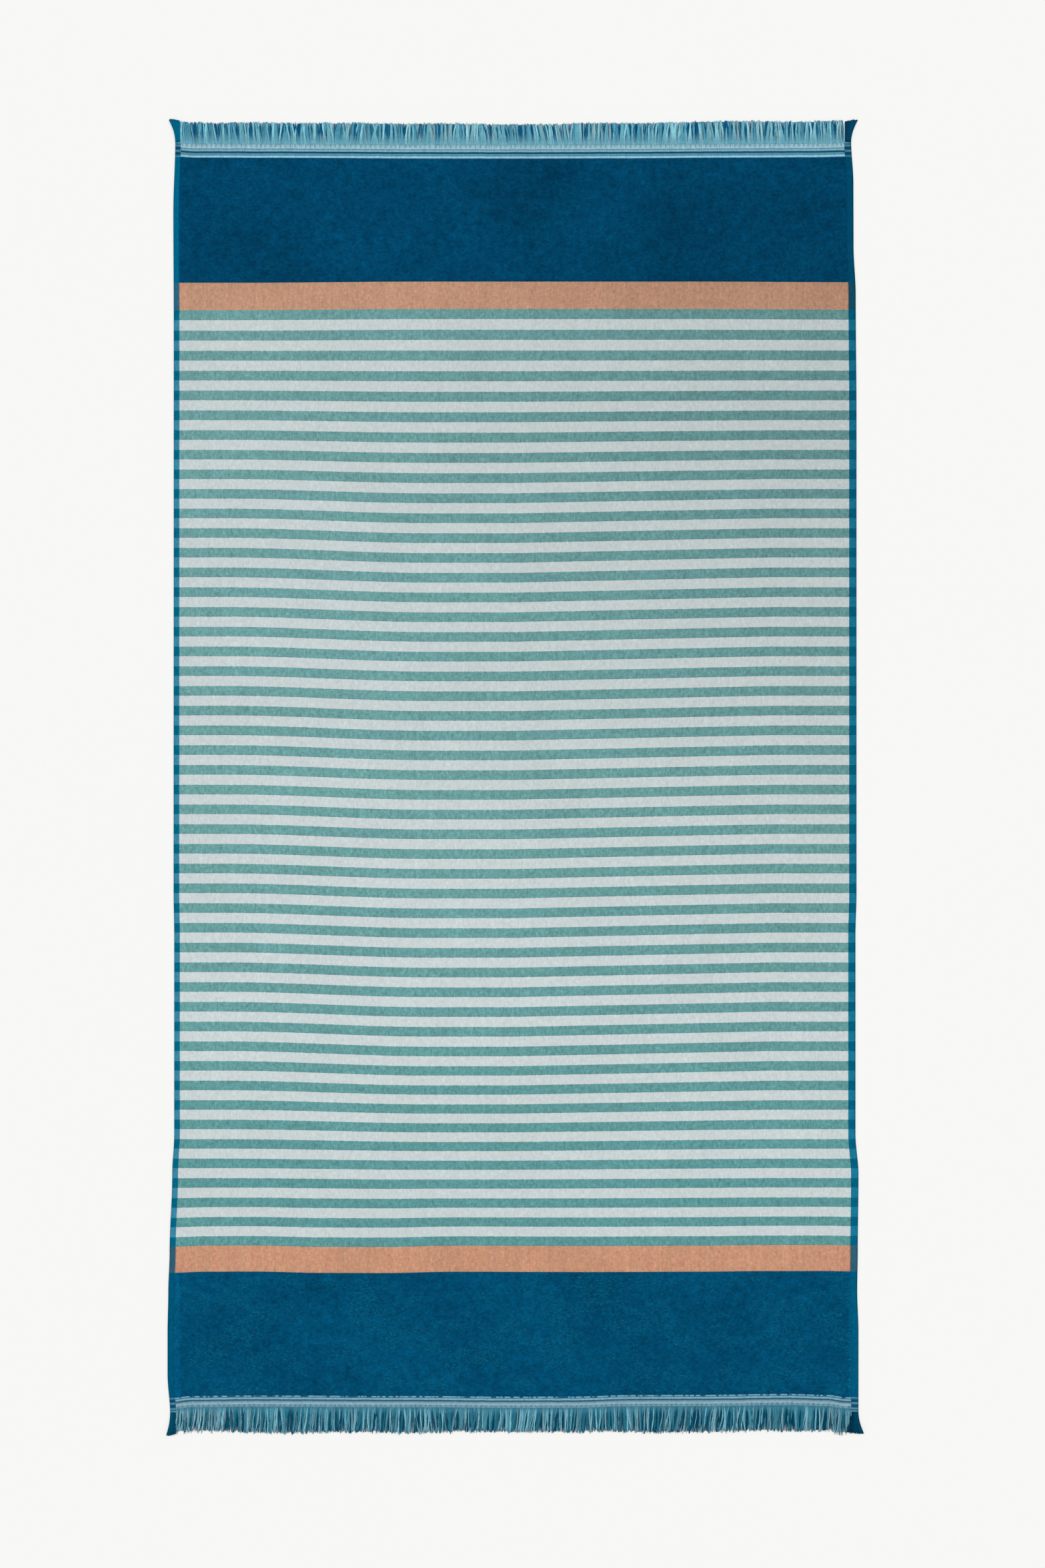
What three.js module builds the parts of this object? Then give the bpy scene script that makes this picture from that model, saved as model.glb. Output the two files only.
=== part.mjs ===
// A long fringed towel, lying flat with its front side up. Millimetres.
// X runs across the cloth, +Y runs to the head end and +Z is up.
// The origin lies on the resting surface, below the middle of the towel.
//
// The cloth is woven in one piece from these yarn systems, each built as its own solid:
//   ground cloth   pale and blue threads in a plain weave: striped in the long middle field,
//                  coral in a band before each end, and a narrow ruled header at each end
//   terry back     loops that cover the whole underside between the headers
//   front pile     blue pile on the front of both ends
//   selvedges      blue edge threads down both long sides
//   fringes        warp threads left unwoven past the headers, with a solid tassel at each corner
// Three fold lines across the towel split it into four panels.

import * as THREE from "three";

// Across the cloth.
const clothWidth = 900;
const selvedgeWidth = 8;

// Along the cloth, from the middle outwards.
const tealStripe = 12.6;
const paleStripe = 13.4;
const tealStripeCount = 48; // the pale stripes lie between them, one fewer
const coralBandLength = 36;
const frontPileLength = 162;
const headerLength = 20;
const fringeLength = 29;

// Through the cloth.
const terryBackHeight = 1.5;
const clothThickness = 0.75;
const frontPileHeight = 1.75;

// Fringe yarns, which gather in loose bunches with ragged tips.
const bunchPitch = 10;
const bunchTipWidth = 6.5;
const fringeRootLength = 4; // unparted length next to the header
const tipRaggedness = 2.5;
const tasselTipWidth = 15;
const tasselFlare = 8; // how far a tassel's tip stands out past the selvedge
const tasselGap = 0.3; // between a tassel and the fringe beside it

// Overlock seam that stops the last header thread from working loose.
const stitchPitch = 6.6;
const stitchReach = 3.2; // the zigzag's width along the towel
const stitchThreadWidth = 0.9;
const stitchThreadHeight = 0.5;
const stitchInset = 4.6; // from the header's outer edge to the seam's middle line

// Folds.
const foldGap = 0.3; // between two panels that meet at a fold line
const frontSlack = 2.5; // loft left between two front faces that a fold lays together
const backSlack = 0.5; // the same between the backs of the two folded ends
const foldRange = 180;

const halfWidth = clothWidth / 2;
const innerHalfWidth = halfWidth - selvedgeWidth;
const halfField = (tealStripeCount * tealStripe + (tealStripeCount - 1) * paleStripe) / 2;
const clothBottom = terryBackHeight;
const clothTop = clothBottom + clothThickness;
const pileTop = clothTop + frontPileHeight;

// An end panel folds over with its pile face down on the striped field. The middle fold then
// brings the backs of both folded ends together, or both pile ends where they lie unfolded.
const endFoldHeight = (pileTop + clothTop + frontSlack) / 2;
const foldedEndTop = 2 * endFoldHeight;
const middleFoldHeight = Math.max(foldedEndTop + backSlack / 2, pileTop + frontSlack / 2);

function fabric(color, roughness = 0.95) {
  return new THREE.MeshStandardMaterial({ color, roughness, metalness: 0 });
}

const bluePile = fabric("#04476b");
const blueTerry = fabric("#0b5077");
const stripedWeave = fabric("#98b8b9", 0.9);
const coralWeave = fabric("#c2906f", 0.9);
const headerWeave = fabric("#7fb0bf", 0.9);
const groundWeave = fabric("#2f6d8c", 0.9);
const selvedgeWeave = fabric("#1e6f97", 0.9);
const fringeYarn = fabric("#6aa3b4");
const tasselYarn = fabric("#06517a");
const seamThread = fabric("#a9c6cf", 0.8);

const unitBox = new THREE.BoxGeometry(1, 1, 1);

// A flat layer between two corners, each given as [x, y, z].
function layer(name, material, from, to) {
  const mesh = new THREE.Mesh(unitBox, material);
  mesh.name = name;
  mesh.scale.set(Math.abs(to[0] - from[0]), Math.abs(to[1] - from[1]), Math.abs(to[2] - from[2]));
  mesh.position.set((from[0] + to[0]) / 2, (from[1] + to[1]) / 2, (from[2] + to[2]) / 2);
  return mesh;
}

// An outline in X and Y, raised to a height and set down at a place.
function raised(name, material, outline, height, place) {
  const geometry = new THREE.ExtrudeGeometry(outline, {
    depth: height,
    bevelEnabled: false,
    curveSegments: 6,
  });
  const mesh = new THREE.Mesh(geometry, material);
  mesh.name = name;
  mesh.position.set(...place);
  return mesh;
}

// The two selvedge strips of one panel, from one distance along the towel to another.
function selvedges(prefix, yFrom, yTo) {
  return [
    ["left", -1],
    ["right", 1],
  ].map(([side, sign]) =>
    layer(
      `${prefix}_selvedge_${side}`,
      selvedgeWeave,
      [sign * innerHalfWidth, yFrom, clothBottom],
      [sign * halfWidth, yTo, clothTop],
    ),
  );
}

// Bunches of yarn side by side, joined where they leave the header.
function fringe(name, end, yRoot) {
  const count = Math.max(1, Math.round((2 * innerHalfWidth) / bunchPitch));
  const pitch = (2 * innerHalfWidth) / count;
  const tipWidth = Math.min(bunchTipWidth, 0.9 * pitch);
  const outline = new THREE.Shape();
  outline.moveTo(-innerHalfWidth, 0);
  outline.lineTo(-innerHalfWidth, end * fringeRootLength);
  for (let i = 0; i < count; i++) {
    const middle = -innerHalfWidth + (i + 0.5) * pitch;
    const reach = fringeLength - tipRaggedness * (0.5 + 0.5 * Math.sin(2.4 * i));
    outline.lineTo(middle - tipWidth / 2, end * reach);
    outline.lineTo(middle + tipWidth / 2, end * reach);
    outline.lineTo(middle + pitch / 2, end * fringeRootLength);
  }
  outline.lineTo(innerHalfWidth, 0);
  return raised(name, fringeYarn, outline, clothTop, [0, yRoot, 0]);
}

// The loose ends of one selvedge, which fan outwards into a tassel.
function cornerTassel(name, side, end, yRoot) {
  const tipOuter = selvedgeWidth + tasselFlare;
  const tipInner = Math.max(tasselGap, tipOuter - tasselTipWidth);
  const bend = 0.45 * fringeLength;
  const outline = new THREE.Shape();
  outline.moveTo(side * tasselGap, 0);
  outline.lineTo(side * selvedgeWidth, 0);
  outline.quadraticCurveTo(side * selvedgeWidth, end * bend, side * tipOuter, end * fringeLength);
  outline.lineTo(side * tipInner, end * fringeLength);
  outline.quadraticCurveTo(side * tasselGap, end * bend, side * tasselGap, 0);
  return raised(name, tasselYarn, outline, clothTop, [side * innerHalfWidth, yRoot, 0]);
}

// A zigzag of thread along the outer edge of the header.
function hemStitching(name, end, yRoot) {
  const length = 2 * innerHalfWidth;
  const count = Math.max(1, Math.round(length / stitchPitch));
  const halfPitch = length / count / 2;
  const swing = (stitchReach - stitchThreadWidth) / 2;
  const corner = (i) => (i % 2 === 0 ? -swing : swing);
  const outline = new THREE.Shape();
  for (let i = 0; i <= 2 * count; i++) {
    const place = [-innerHalfWidth + i * halfPitch, corner(i) + stitchThreadWidth / 2];
    if (i === 0) outline.moveTo(...place);
    else outline.lineTo(...place);
  }
  for (let i = 2 * count; i >= 0; i--) {
    outline.lineTo(-innerHalfWidth + i * halfPitch, corner(i) - stitchThreadWidth / 2);
  }
  const ySeam = yRoot - end * stitchInset;
  return raised(name, seamThread, outline, stitchThreadHeight, [0, ySeam, clothTop]);
}

// One half of the long striped field, between the middle fold and an end fold.
function fieldPanel(prefix, end) {
  const yFrom = (end * foldGap) / 2;
  const yTo = end * (halfField - foldGap / 2);
  const panel = new THREE.Group();
  panel.name = prefix;
  panel.add(
    layer(
      `${prefix}_striped_cloth`,
      stripedWeave,
      [-innerHalfWidth, yFrom, clothBottom],
      [innerHalfWidth, yTo, clothTop],
    ),
    layer(
      `${prefix}_terry_back`,
      blueTerry,
      [-innerHalfWidth, yFrom, 0],
      [innerHalfWidth, yTo, clothBottom],
    ),
    ...selvedges(prefix, yFrom, yTo),
  );
  return panel;
}

// One end of the towel: coral band, blue pile, header, fringe and tassels.
function endPanel(name, end) {
  const yFold = end * (halfField + foldGap / 2);
  const yPile = end * (halfField + coralBandLength);
  const yHeader = end * (halfField + coralBandLength + frontPileLength);
  const yRoot = end * (halfField + coralBandLength + frontPileLength + headerLength);
  const across = (sign, y, z) => [sign * innerHalfWidth, y, z];
  const panel = new THREE.Group();
  panel.name = `${name}_end`;
  panel.add(
    layer(
      `${name}_coral_band`,
      coralWeave,
      across(-1, yFold, clothBottom),
      across(1, yPile, clothTop),
    ),
    layer(
      `${name}_ground_cloth`,
      groundWeave,
      across(-1, yPile, clothBottom),
      across(1, yHeader, clothTop),
    ),
    layer(`${name}_front_pile`, bluePile, across(-1, yPile, clothTop), across(1, yHeader, pileTop)),
    layer(`${name}_terry_back`, blueTerry, across(-1, yFold, 0), across(1, yHeader, clothBottom)),
    layer(
      `${name}_header_band`,
      headerWeave,
      across(-1, yHeader, clothBottom),
      across(1, yRoot, clothTop),
    ),
    hemStitching(`${name}_hem_stitching`, end, yRoot),
    fringe(`${name}_fringe`, end, yRoot),
    cornerTassel(`${name}_tassel_left`, -1, end, yRoot),
    cornerTassel(`${name}_tassel_right`, 1, end, yRoot),
    ...selvedges(`${name}_end`, yFold, yRoot),
  );
  // The end folds up and over the front of the field.
  panel.userData.fold = {
    axis: [end, 0, 0],
    through: [0, end * halfField, endFoldHeight],
    degrees: [0, foldRange],
  };
  return panel;
}

const headEnd = endPanel("head", 1);
const headHalf = fieldPanel("head_half", 1);
const footHalf = fieldPanel("foot_half", -1);
const footEnd = endPanel("foot", -1);

// The foot half folds up and over the head half, and takes the foot end with it.
footHalf.userData.fold = {
  axis: [-1, 0, 0],
  through: [0, 0, middleFoldHeight],
  degrees: [0, foldRange],
};

const towel = new THREE.Group();
towel.name = "towel";
towel.add(headEnd, headHalf, footHalf, footEnd);

export default towel;
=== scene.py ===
import bmesh
import bpy
import math
import random
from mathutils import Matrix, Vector, noise


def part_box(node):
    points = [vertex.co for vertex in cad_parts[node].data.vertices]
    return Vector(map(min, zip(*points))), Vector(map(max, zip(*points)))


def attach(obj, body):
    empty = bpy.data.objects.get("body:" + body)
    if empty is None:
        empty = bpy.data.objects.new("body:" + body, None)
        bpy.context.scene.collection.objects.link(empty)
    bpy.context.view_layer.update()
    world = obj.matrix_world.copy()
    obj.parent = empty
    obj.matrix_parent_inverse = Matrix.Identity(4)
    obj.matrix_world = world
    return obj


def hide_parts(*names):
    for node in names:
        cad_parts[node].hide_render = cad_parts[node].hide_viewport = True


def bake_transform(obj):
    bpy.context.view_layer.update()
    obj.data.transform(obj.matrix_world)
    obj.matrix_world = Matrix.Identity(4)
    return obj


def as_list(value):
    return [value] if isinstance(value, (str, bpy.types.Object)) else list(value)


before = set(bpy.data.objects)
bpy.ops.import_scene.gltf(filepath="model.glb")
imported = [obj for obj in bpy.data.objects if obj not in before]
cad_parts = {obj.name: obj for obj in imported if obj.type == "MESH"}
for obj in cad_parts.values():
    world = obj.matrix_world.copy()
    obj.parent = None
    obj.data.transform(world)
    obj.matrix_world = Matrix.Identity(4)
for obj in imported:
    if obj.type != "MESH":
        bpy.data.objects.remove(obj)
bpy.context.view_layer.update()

scene = bpy.context.scene
random.seed(7)
mm = 0.001
print("frame loaded,", len(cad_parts), "nodes")


# Camera, light and floor

studio = {
    "cameraHeight": 4.878,
    "cameraSide": 0.0105,
    "cameraForward": -0.0083,
    "lens": 85,
    "sky": 0.70,
    "keyStrength": 1.15,
    "keyTilt": 36,  # degrees from straight down
    "keyTurn": 135,
    "keySoftness": 20,
    "floorGlow": 0.60,
    "floorSize": 30,
    "floorDrop": 0.2 * mm,
}


def dye(red, green, blue):
    def linear(value):
        value /= 255
        return value / 12.92 if value <= 0.04045 else ((value + 0.055) / 1.055) ** 2.4

    return (linear(red), linear(green), linear(blue), 1)


cameraData = bpy.data.cameras.new("camera")
cameraData.lens = studio["lens"]
cameraData.sensor_width = 36
camera = bpy.data.objects.new("camera", cameraData)
camera.location = (studio["cameraSide"], studio["cameraForward"], studio["cameraHeight"])
scene.collection.objects.link(camera)
scene.camera = camera

world = bpy.data.worlds.new("studio")
world.use_nodes = True
world.node_tree.nodes["Background"].inputs["Color"].default_value = (1, 1, 1, 1)
world.node_tree.nodes["Background"].inputs["Strength"].default_value = studio["sky"]
scene.world = world
scene.view_settings.view_transform = "Standard"

keyData = bpy.data.lights.new("key", "SUN")
keyData.energy = studio["keyStrength"]
keyData.angle = math.radians(studio["keySoftness"])
key = bpy.data.objects.new("key", keyData)
key.rotation_euler = (math.radians(studio["keyTilt"]), 0, math.radians(studio["keyTurn"]))
scene.collection.objects.link(key)


# Helpers for materials

def feed(tree, socket, value):
    if isinstance(value, bpy.types.NodeSocket):
        tree.links.new(value, socket)
    else:
        socket.default_value = value


def newMaterial(name, roughness, specular):
    material = bpy.data.materials.new(name)
    material.use_nodes = True
    tree = material.node_tree
    surface = tree.nodes["Principled BSDF"]
    surface.inputs["Roughness"].default_value = roughness
    surface.inputs["Specular IOR Level"].default_value = specular
    return material, tree, surface


def calc(tree, operation, *values):
    node = tree.nodes.new("ShaderNodeMath")
    node.operation = operation
    for socket, value in zip(node.inputs, values):
        feed(tree, socket, value)
    return node.outputs[0]


def mixColor(tree, amount, first, second, mode="MIX"):
    node = tree.nodes.new("ShaderNodeMix")
    node.data_type = "RGBA"
    node.blend_type = mode
    feed(tree, node.inputs[0], amount)
    feed(tree, node.inputs[6], first)
    feed(tree, node.inputs[7], second)
    return node.outputs[2]


def speckle(tree, coordinates, perMetre, detail=2, seed=0):
    mapping = tree.nodes.new("ShaderNodeMapping")
    mapping.inputs["Scale"].default_value = perMetre
    mapping.inputs["Location"].default_value = (seed, seed * 0.37, seed * 0.71)
    tree.links.new(coordinates, mapping.inputs["Vector"])
    node = tree.nodes.new("ShaderNodeTexNoise")
    node.inputs["Scale"].default_value = 1
    node.inputs["Detail"].default_value = detail
    tree.links.new(mapping.outputs["Vector"], node.inputs["Vector"])
    return node.outputs[0]


def between(tree, value, low, high):
    above = calc(tree, "GREATER_THAN", value, low)
    below = calc(tree, "LESS_THAN", value, high)
    return calc(tree, "MULTIPLY", above, below)


def spread(tree, value, middle, amount):
    # 1 where the value is at its middle, more above it and less below it
    away = calc(tree, "SUBTRACT", value, middle)
    return calc(tree, "MULTIPLY_ADD", away, amount, 1)


def tinted(tree, color, factor):
    node = tree.nodes.new("ShaderNodeVectorMath")
    node.operation = "SCALE"
    feed(tree, node.inputs[0], color[:3] if isinstance(color, tuple) else color)
    feed(tree, node.inputs["Scale"], factor)
    return node.outputs[0]


def mixFloat(tree, amount, first, second):
    node = tree.nodes.new("ShaderNodeMix")
    feed(tree, node.inputs[0], amount)
    feed(tree, node.inputs[2], first)
    feed(tree, node.inputs[3], second)
    return node.outputs[0]


def ramp(tree, value, stops, smooth=True):
    node = tree.nodes.new("ShaderNodeValToRGB")
    node.color_ramp.interpolation = "LINEAR" if smooth else "CONSTANT"
    elements = node.color_ramp.elements
    for i, (position, color) in enumerate(stops):
        element = elements[i] if i < 2 else elements.new(position)
        element.position = position
        element.color = color
    feed(tree, node.inputs[0], value)
    return node.outputs[0]


def bumped(tree, surface, height, distance, strength=1.0):
    node = tree.nodes.new("ShaderNodeBump")
    node.inputs["Strength"].default_value = strength
    node.inputs["Distance"].default_value = distance
    feed(tree, node.inputs["Height"], height)
    tree.links.new(node.outputs[0], surface.inputs["Normal"])


def objectPlace(tree):
    return tree.nodes.new("ShaderNodeTexCoord").outputs["Object"]


def clothPlace(tree):
    # the cloth's own map: metres across and along the flat cloth
    node = tree.nodes.new("ShaderNodeUVMap")
    node.uv_map = "cloth"
    parts = tree.nodes.new("ShaderNodeSeparateXYZ")
    tree.links.new(node.outputs[0], parts.inputs[0])
    return node.outputs[0], parts.outputs[0], parts.outputs[1]


# Floor

floorMaterial, tree, surface = newMaterial("paleFloor", 0.9, 0)
grain = speckle(tree, objectPlace(tree), (3, 3, 3))
floorColor = mixColor(tree, grain, (0.336, 0.336, 0.331, 1), (0.340, 0.340, 0.335, 1))
tree.links.new(floorColor, surface.inputs["Base Color"])
surface.inputs["Emission Color"].default_value = (1, 1, 0.985, 1)
surface.inputs["Emission Strength"].default_value = studio["floorGlow"]  # lit from below, as on a light table
bm = bmesh.new()
bmesh.ops.create_grid(bm, x_segments=2, y_segments=2, size=studio["floorSize"] / 2)
bmesh.ops.translate(bm, verts=bm.verts, vec=(0, 0, -studio["floorDrop"]))
floorMesh = bpy.data.meshes.new("floor")
bm.to_mesh(floorMesh)
bm.free()
floorMesh.materials.append(floorMaterial)
floor = bpy.data.objects.new("floor", floorMesh)
scene.collection.objects.link(floor)
print("camera, light and floor ready")


# Sizes of the towel, from the frame

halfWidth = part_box("head_half_selvedge_right")[1].x
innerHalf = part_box("head_half_striped_cloth")[1].x
fieldEnd = (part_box("head_half_striped_cloth")[1].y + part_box("head_coral_band")[0].y) / 2
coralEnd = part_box("head_coral_band")[1].y
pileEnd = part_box("head_front_pile")[1].y
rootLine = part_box("head_header_band")[1].y
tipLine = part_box("head_fringe")[1].y
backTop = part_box("head_terry_back")[1].z
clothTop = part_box("head_coral_band")[1].z
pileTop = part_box("head_front_pile")[1].z

stripes = {
    "tealWidth": 12.6 * mm,
    "paleWidth": 13.4 * mm,
    "sectionStripes": 12,  # stripe pairs between a section's seam and the coral band
}
stripePeriod = stripes["tealWidth"] + stripes["paleWidth"]
sectionLine = fieldEnd - stripes["sectionStripes"] * stripePeriod


# How the cloth lies. Flat cloth is measured u across and v along, from its middle.

lie = {
    "sag": 9.6 * mm,  # how far the stripes sit towards the foot, in the middle of the field
    "bow": 7 * mm,  # how much less they do at both sides
    "aside": 1 * mm,  # how far the cloth between the selvedges is drawn to the left
    "swell": 0.3 * mm,
    "waves": 0.16 * mm,
}
# across the towel, and how far the pile's outer line lies towards the head there, in mm
headLine = (
    (-0.45, 2.7), (-0.42, 1.3), (-0.30, 1.0), (-0.12, 0.1), (0.02, 0.0), (0.12, 0.3), (0.30, 1.3),
    (0.40, 1.8), (0.45, 2.8),
)
footLine = (
    (-0.45, -2.4), (-0.42, 0.9), (-0.34, 1.6), (-0.15, 0.8), (0.00, 0.0), (0.08, 0.0), (0.15, 2.0),
    (0.25, 2.3), (0.36, 3.6), (0.41, 2.2), (0.435, -0.8), (0.45, -1.5),
)
# the same for the coral bands
headCoralLine = ((-0.36, -1.5), (-0.12, 0), (0.24, 0), (0.46, -0.8))
footCoralLine = (
    (-0.45, -1.6), (-0.40, 0), (-0.34, 0.2), (-0.25, -1.6), (-0.17, -1.8), (-0.08, -0.1), (0.10, -0.5),
    (0.25, 0), (0.32, 0.8), (0.41, 0.9), (0.45, 0.3),
)
# along the foot end, and how far its bands lie towards the head, in mm
footDrift = ((-0.90, 0.6), (-0.815, 0.6), (-0.653, 2.8), (-0.617, 1.0), (-0.56, 0.0))
# where along the towel, and how far each side stands out there past its even width
leftEdge = (
    (-0.864, 2.0), (-0.836, 3.6), (-0.784, 7.0), (-0.731, 7.0), (-0.679, 6.0), (-0.626, 4.3),
    (-0.521, 0.8), (-0.468, -1.8), (-0.205, -1.8), (-0.150, -1.0), (0.600, -1.2), (0.744, -0.6),
    (0.836, -3.2),
)
rightEdge = (
    (-0.864, 3.0), (-0.731, 3.0), (-0.679, 1.4), (-0.626, 2.1), (-0.521, 3.0), (-0.468, -0.9),
    (-0.205, -0.9), (-0.150, 0.4), (0.480, 0.4), (0.638, -0.6), (0.700, -3.4), (0.780, -3.6),
    (0.836, -6.6),
)
# x, y, half length, half width, height and turn of each small wrinkle
wrinkles = (
    (-0.263, -0.4110, 0.080, 3.2 * mm, 1.0 * mm, 0.01),
    (-0.230, -0.4030, 0.050, 5.0 * mm, 0.4 * mm, -0.03),
    (-0.272, -0.1725, 0.034, 5.0 * mm, 0.7 * mm, 0.06),
    (-0.415, -0.4416, 0.030, 4.0 * mm, 0.7 * mm, -0.03),
    (0.266, -0.4090, 0.024, 4.0 * mm, 0.7 * mm, 0.04),
    (0.120, -0.2950, 0.090, 7.0 * mm, 0.4 * mm, 0.10),
    (-0.330, 0.2380, 0.070, 7.0 * mm, 0.4 * mm, -0.12),
    (0.330, 0.0650, 0.060, 7.0 * mm, 0.4 * mm, 0.15),
)


def ease(low, high, value):
    t = min(1, max(0, (value - low) / (high - low)))
    return t * t * (3 - 2 * t)


def along(line, at):
    if at <= line[0][0]:
        return line[0][1]
    for (fromAt, fromValue), (toAt, toValue) in zip(line, line[1:]):
        if at <= toAt:
            return fromValue + (toValue - fromValue) * ease(fromAt, toAt, at)
    return line[-1][1]


def lieAt(u, v):
    share = ease(0.11, 0.38, -u) if u < 0 else min(1, u / 0.34)
    near = min(1, max(0, (fieldEnd - v) / 0.33))
    footward = ease(-0.617, -0.34, v)
    y = v + (lie["bow"] * share * ease(0, 1, near) - lie["sag"] * near * (2 - near)) * footward
    if v > 0:
        y += along(headLine, u) * mm * ease(0.68, 0.81, v)
        y += along(headCoralLine, u) * mm * ease(0.50, 0.62, v) * ease(0.75, 0.66, v)
    else:
        y += along(footLine, u) * mm * ease(0.66, 0.81, -v)
        y += along(footCoralLine, u) * mm * ease(0.50, 0.62, -v) * ease(0.75, 0.66, -v)
        y += along(footDrift, v) * mm
    side, edge = (-1, leftEdge) if u < 0 else (1, rightEdge)
    x = u + side * along(edge, v) * mm * (abs(u) / halfWidth) ** 4
    return x - lie["aside"] * (1 - ease(innerHalf, halfWidth, abs(u))), y


def liftAt(x, y):
    height = lie["swell"] * (0.5 + 0.5 * noise.noise(Vector((x * 7, y * 10, 3.1))))
    height += lie["waves"] * (0.5 + 0.5 * noise.noise(Vector((x * 15, y * 46, 8.7))))
    height *= 1 - 0.6 * ease(0.60, 0.70, abs(y))
    for wrinkleX, wrinkleY, halfLength, halfThick, peak, turn in wrinkles:
        dx = x - wrinkleX
        dy = y - wrinkleY - turn * dx
        if abs(dx) < halfLength * 1.6 and abs(dy) < halfThick * 3:
            height += peak * math.exp(-((dx / halfLength) ** 4) - (dy / halfThick) ** 2)
    return height


# Helpers for pieces

def evenSteps(low, high, step):
    count = max(1, round((high - low) / step))
    return [low + (high - low) * i / count for i in range(count + 1)]


def rowsBetween(low, high, step, fineZones):
    marks = {low, high}
    for zoneLow, zoneHigh, _ in fineZones:
        marks.update(edge for edge in (zoneLow, zoneHigh) if low < edge < high)
    marks = sorted(marks)
    rows = [low]
    for start, stop in zip(marks, marks[1:]):
        middle = (start + stop) / 2
        sizes = [size for zoneLow, zoneHigh, size in fineZones if zoneLow < middle < zoneHigh]
        rows += evenSteps(start, stop, min([step, *sizes]))[1:]
    return rows


foldRows = (
    (-10 * mm, 22 * mm, 1 * mm),
    (fieldEnd - 9 * mm, fieldEnd + 9 * mm, 1 * mm),
    (-fieldEnd - 9 * mm, -fieldEnd + 9 * mm, 1 * mm),
)


def gridMesh(columns, rows, place):
    # a grid whose columns and rows lie at the given u and v, each point then placed
    bm = bmesh.new()
    across = len(columns) - 1
    down = len(rows) - 1
    bmesh.ops.create_grid(bm, x_segments=across, y_segments=down, size=1)
    bm.verts.index_update()
    flat = []
    for vert in bm.verts:
        u = columns[round((vert.co.x + 1) / 2 * across)]
        v = rows[round((vert.co.y + 1) / 2 * down)]
        flat.append((u, v))
        vert.co = place(u, v)
    layer = bm.loops.layers.uv.new("cloth")
    for face in bm.faces:
        face.smooth = True
        for loop in face.loops:
            loop[layer].uv = flat[loop.vert.index]
    return bm


def finishPiece(name, bm, material):
    mesh = bpy.data.meshes.new(name)
    bm.to_mesh(mesh)
    bm.free()
    mesh.materials.append(material)
    piece = bpy.data.objects.new(name, mesh)
    scene.collection.objects.link(piece)
    return piece


# The two bodies that meet at each fold, and where the bend starts and ends. The second body turns
# about +X from the first, so that a half turn goes round the outside.
foldPlaces = {
    "head_end": ("head_half", "head_end", fieldEnd - 4 * mm, fieldEnd + 4 * mm),
    "middle": ("foot_half", "head_half", -9 * mm, 9 * mm),
    "foot_end": ("foot_end", "foot_half", -fieldEnd - 4 * mm, -fieldEnd + 4 * mm),
}


def bendAt(piece, fold):
    firstBody, secondBody, start, end = foldPlaces[fold]
    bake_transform(piece)


# Woven cloth: stripes, coral bands, ground under the pile, and headers

weave = {
    "threadPitch": 0.66 * mm,
    "bumpDepth": 0.16 * mm,
    "wall": 0.7 * mm,
    "seat": 0.05 * mm,  # how far its front lies below the frame's
    "ribHeight": 0.08 * mm,  # the header's wefts are thicker than the gaps between them
    "ribPitch": 1.15 * mm,
    "coral": dye(213, 157, 125),
    "coralWarp": dye(198, 158, 137),
    "ground": dye(20, 84, 118),
}


def threads(tree, u, v):
    # plain weave: warp threads show in every other crossing
    pitch = weave["threadPitch"]
    warp = calc(tree, "SINE", calc(tree, "MULTIPLY", u, math.pi / pitch))
    weft = calc(tree, "SINE", calc(tree, "MULTIPLY", v, math.pi / pitch))
    crossing = calc(tree, "MULTIPLY", warp, weft)
    return crossing, calc(tree, "GREATER_THAN", crossing, 0)


def heather(tree, place, warpAmount, weftAmount, patchAmount):
    # uneven yarns: short streaks along the warp and the weft, and soft patches
    warp = speckle(tree, place, (900, 130, 1), 2, 3)
    weft = speckle(tree, place, (190, 700, 1), 2, 11)
    fleck = speckle(tree, place, (330, 240, 1), 2, 29)
    patch = speckle(tree, place, (14, 11, 1), 2, 23)
    bands = speckle(tree, place, (210, 5, 1), 2, 37)
    factor = calc(tree, "MULTIPLY", spread(tree, warp, 0.5, warpAmount), spread(tree, weft, 0.5, weftAmount))
    factor = calc(tree, "MULTIPLY", factor, spread(tree, fleck, 0.5, warpAmount))
    factor = calc(tree, "MULTIPLY", factor, spread(tree, bands, 0.5, patchAmount))
    return calc(tree, "MULTIPLY", factor, spread(tree, patch, 0.5, patchAmount))


def finishWeave(tree, surface, color, factor, crossing):
    tree.links.new(tinted(tree, color, factor), surface.inputs["Base Color"])
    bumped(tree, surface, crossing, weave["bumpDepth"], 0.5)


def smoothRange(tree, value, low, high, smooth=True):
    node = tree.nodes.new("ShaderNodeMapRange")
    node.interpolation_type = "SMOOTHSTEP" if smooth else "LINEAR"
    node.inputs["From Min"].default_value = low
    node.inputs["From Max"].default_value = high
    feed(tree, node.inputs["Value"], value)
    return node.outputs[0]


def paintedLightFalloff(tree, u, v, amount):
    # painted shade: the light falls off towards the right side of the head, so the colour is made a little
    # darker there
    across = smoothRange(tree, u, -0.35, 0.45)
    lengthways = smoothRange(tree, v, -0.52, 0.49, False)
    both = calc(tree, "MULTIPLY", across, lengthways)
    return calc(tree, "SUBTRACT", 1, calc(tree, "MULTIPLY", both, amount))


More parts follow.
